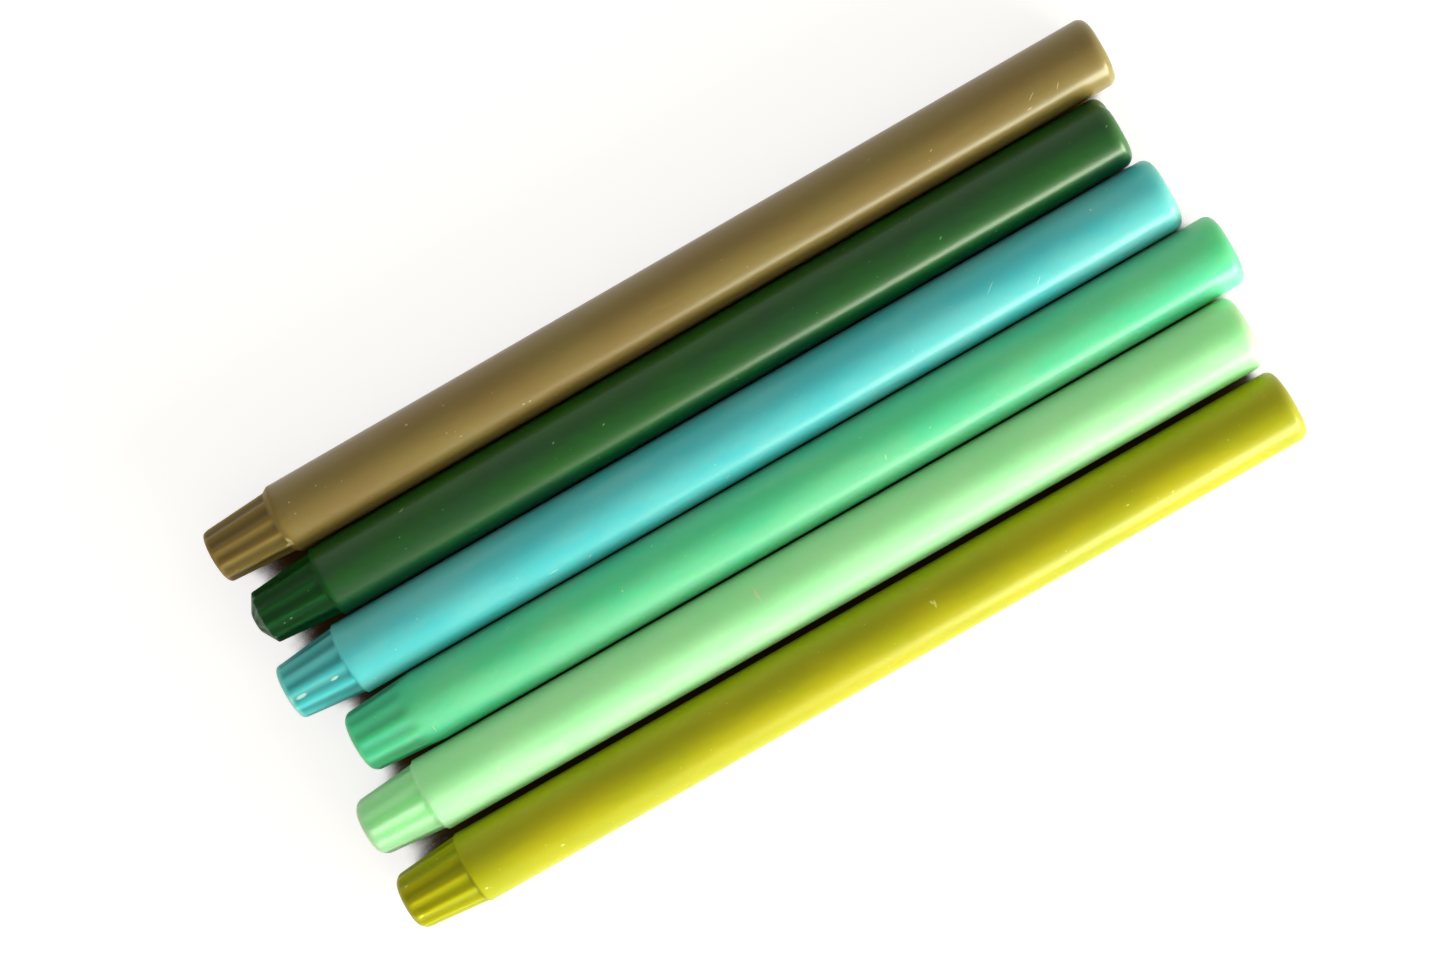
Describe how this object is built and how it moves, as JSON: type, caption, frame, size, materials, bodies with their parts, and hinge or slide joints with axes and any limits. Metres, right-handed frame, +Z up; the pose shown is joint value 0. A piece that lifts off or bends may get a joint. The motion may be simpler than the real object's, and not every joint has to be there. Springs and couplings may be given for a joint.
{
  "type": "dinner candle set",
  "caption": "Row of dyed wax dinner candles lying side by side, each with a fluted tapered plug, a smooth straight body, a blunt rounded end and a cotton wick.",
  "frame": {"origin": "centre of the underside of the row, on the surface that the candles lie on", "axes": "+X along the candles from the fluted plugs to the wick ends, +Y across the row towards the olive brown candle, +Z up"},
  "size_m": [0.2988, 0.136, 0.0227],
  "materials": {
    "olive_brown_wax": "satin dyed wax",
    "dark_green_wax": "satin dyed wax",
    "turquoise_wax": "satin dyed wax",
    "mid_green_wax": "satin dyed wax",
    "light_green_wax": "satin dyed wax",
    "yellow_green_wax": "satin dyed wax",
    "wick_cotton": "braided cotton, waxed"
  },
  "bodies": {
    "turquoise_candle": {"turquoise_wax": "turquoise_wax", "turquoise_wick": "wick_cotton"},
    "olive_brown_candle": {"olive_brown_wax": "olive_brown_wax", "olive_brown_wick": "wick_cotton"},
    "dark_green_candle": {"dark_green_wax": "dark_green_wax", "dark_green_wick": "wick_cotton"},
    "mid_green_candle": {"mid_green_wax": "mid_green_wax", "mid_green_wick": "wick_cotton"},
    "light_green_candle": {"light_green_wax": "light_green_wax", "light_green_wick": "wick_cotton"},
    "yellow_green_candle": {"yellow_green_wax": "yellow_green_wax", "yellow_green_wick": "wick_cotton"}
  },
  "joints": [
    {"name": "olive_brown_lift", "type": "slide", "parent": "turquoise_candle", "child": "olive_brown_candle", "axis": [0, 0, 1], "range_m": [0, 0.1]},
    {"name": "dark_green_lift", "type": "slide", "parent": "turquoise_candle", "child": "dark_green_candle", "axis": [0, 0, 1], "range_m": [0, 0.1]},
    {"name": "mid_green_lift", "type": "slide", "parent": "turquoise_candle", "child": "mid_green_candle", "axis": [0, 0, 1], "range_m": [0, 0.1]},
    {"name": "light_green_lift", "type": "slide", "parent": "turquoise_candle", "child": "light_green_candle", "axis": [0, 0, 1], "range_m": [0, 0.1]},
    {"name": "yellow_green_lift", "type": "slide", "parent": "turquoise_candle", "child": "yellow_green_candle", "axis": [0, 0, 1], "range_m": [0, 0.1]}
  ]
}
